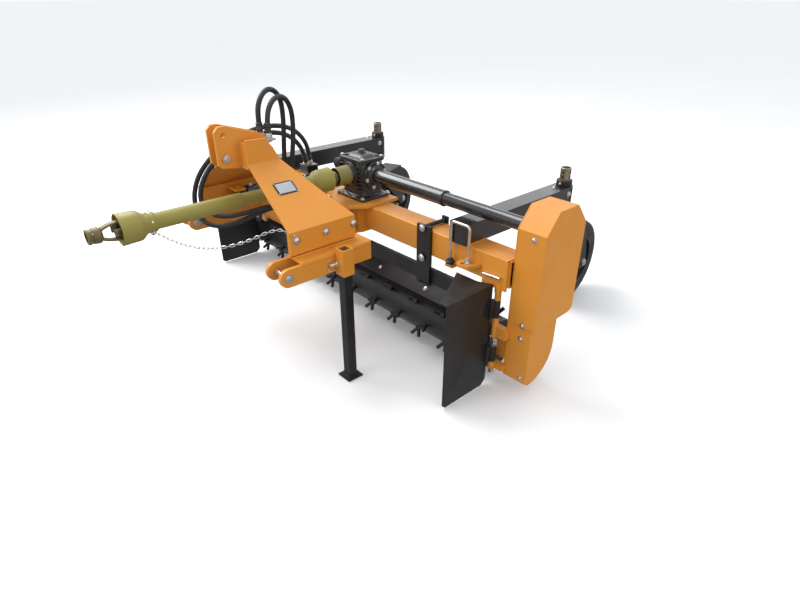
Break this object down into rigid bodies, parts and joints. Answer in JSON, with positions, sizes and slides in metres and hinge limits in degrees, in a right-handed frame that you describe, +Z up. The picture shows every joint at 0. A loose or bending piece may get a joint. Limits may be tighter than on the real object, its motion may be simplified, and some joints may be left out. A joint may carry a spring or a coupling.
{
  "type": "power rake",
  "caption": "Tractor-mounted landscape power rake with a toothed rotor under a square beam, swivelling three-point headstock, PTO driveline, chain case and rear caster wheels.",
  "frame": {"origin": "on the ground under the middle of the overall box", "axes": "+X to the chain case side, +Y to the caster wheels at the rear, -Y to the tractor, +Z up"},
  "size_m": [2.1, 2.3106, 1.1225],
  "materials": {
    "orange_paint": "gloss powder coat, amber orange",
    "black_paint": "satin black powder coat",
    "zinc": "bright zinc plate",
    "bronze_zinc": "yellow passivated zinc",
    "guard_plastic": "faded olive yellow moulded plastic",
    "shaft_steel": "olive yellow painted forged steel",
    "rod_chrome": "hard chrome",
    "tyre_rubber": "black rubber",
    "rim_black": "satin black paint",
    "hose_rubber": "smooth black hydraulic hose"
  },
  "bodies": {
    "frame": {"main_beam": "orange_paint", "pivot_bracket": "orange_paint", "gearbox": "black_paint", "input_guard": "guard_plastic", "drive_tube": "black_paint", "chain_case": "orange_paint", "case_cover": "orange_paint", "left_side_frame": "orange_paint", "rear_arm_right": "black_paint", "rear_arm_left": "black_paint", "barrier_board": "black_paint", "barrier_hangers": "black_paint", "hinge_bracket_right": "orange_paint", "hinge_bracket_left": "orange_paint", "lock_pins": "zinc", "rod_bracket": "orange_paint"},
    "drum": {"rake_drum": "black_paint"},
    "caster_right": {"spindle_right": "bronze_zinc", "fork_right": "black_paint", "axle_right": "zinc"},
    "caster_left": {"spindle_left": "bronze_zinc", "fork_left": "black_paint", "axle_left": "zinc"},
    "wheel_right": {"tyre_right": "tyre_rubber", "rim_right": "rim_black"},
    "wheel_left": {"tyre_left": "tyre_rubber", "rim_left": "rim_black"},
    "end_plate_right": {"end_plate_right": "black_paint"},
    "end_plate_left": {"end_plate_left": "black_paint"},
    "headstock": {"cheek_right": "orange_paint", "cheek_left": "orange_paint", "mast_clevis": "orange_paint", "mast_pin": "zinc", "lower_arm_right": "orange_paint", "lower_arm_left": "orange_paint", "hitch_pin_right": "zinc", "hitch_pin_left": "zinc", "headstock_base": "orange_paint", "cylinder_lugs": "orange_paint", "stand_socket": "orange_paint", "guard_front": "guard_plastic", "guard_rear": "guard_plastic", "valve_block": "black_paint", "hose_bracket": "zinc", "port_block": "zinc", "coupler_rest": "orange_paint", "hose_loop_left": "hose_rubber", "hose_loop_right": "hose_rubber", "hose_supply_left": "hose_rubber", "hose_supply_right": "hose_rubber", "guard_chain": "zinc"},
    "stand": {"stand_leg": "black_paint"},
    "driveline": {"driveline": "shaft_steel"},
    "input_shaft": {"input_yoke": "shaft_steel"},
    "cylinder_barrel": {"cylinder_barrel": "black_paint"},
    "cylinder_rod": {"cylinder_rod": "rod_chrome"}
  },
  "joints": [
    {"name": "headstock_swivel", "type": "hinge", "parent": "frame", "child": "headstock", "pos_m": [-0.03, -0.134, 0.6], "axis": [0, 0, 1], "range_deg": [-20, 20]},
    {"name": "drum_spin", "type": "hinge", "parent": "frame", "child": "drum", "pos_m": [0, 0.088, 0.15], "axis": [1, 0, 0], "continuous": true},
    {"name": "input_spin", "type": "hinge", "parent": "frame", "child": "input_shaft", "pos_m": [-0.03, -0.134, 0.71], "axis": [0, 1, 0], "continuous": true},
    {"name": "driveline_spin", "type": "hinge", "parent": "headstock", "child": "driveline", "pos_m": [-0.03, -0.134, 0.71], "axis": [0, 1, 0], "continuous": true},
    {"name": "barrel_pivot", "type": "hinge", "parent": "headstock", "child": "cylinder_barrel", "pos_m": [-0.33, -0.42, 0.635], "axis": [0, 0, 1], "range_deg": [-6, 6]},
    {"name": "rod_slide", "type": "slide", "parent": "cylinder_barrel", "child": "cylinder_rod", "axis": [0.0739, 0.9973, 0], "range_m": [-0.101, 0.101]},
    {"name": "stand_slide", "type": "slide", "parent": "headstock", "child": "stand", "axis": [0, 0, 1], "range_m": [0, 0.3]},
    {"name": "caster_swivel_right", "type": "hinge", "parent": "frame", "child": "caster_right", "pos_m": [0.67, 0.712, 0.5], "axis": [0, 0, 1], "continuous": true},
    {"name": "caster_swivel_left", "type": "hinge", "parent": "frame", "child": "caster_left", "pos_m": [-0.67, 0.712, 0.5], "axis": [0, 0, 1], "continuous": true},
    {"name": "wheel_spin_right", "type": "hinge", "parent": "caster_right", "child": "wheel_right", "pos_m": [0.64136, 0.94525, 0.21], "axis": [0.9925, 0.1219, 0], "continuous": true},
    {"name": "wheel_spin_left", "type": "hinge", "parent": "caster_left", "child": "wheel_left", "pos_m": [-0.75803, 0.92989, 0.21], "axis": [0.9272, 0.3746, 0], "continuous": true},
    {"name": "end_plate_hinge_right", "type": "hinge", "parent": "frame", "child": "end_plate_right", "pos_m": [0.88, 0.004, 0.3], "axis": [0, 0, 1], "range_deg": [0, 90]},
    {"name": "end_plate_hinge_left", "type": "hinge", "parent": "frame", "child": "end_plate_left", "pos_m": [-1.015, 0.004, 0.3], "axis": [0, 0, -1], "range_deg": [0, 90]}
  ],
  "couplings": [
    {"joint": "input_spin", "follows": "drum_spin", "ratio": -1.35},
    {"joint": "driveline_spin", "follows": "drum_spin", "ratio": -1.35},
    {"joint": "barrel_pivot", "follows": "headstock_swivel", "ratio": -0.225},
    {"joint": "rod_slide", "follows": "headstock_swivel", "m_per_rad": 0.2757}
  ]
}
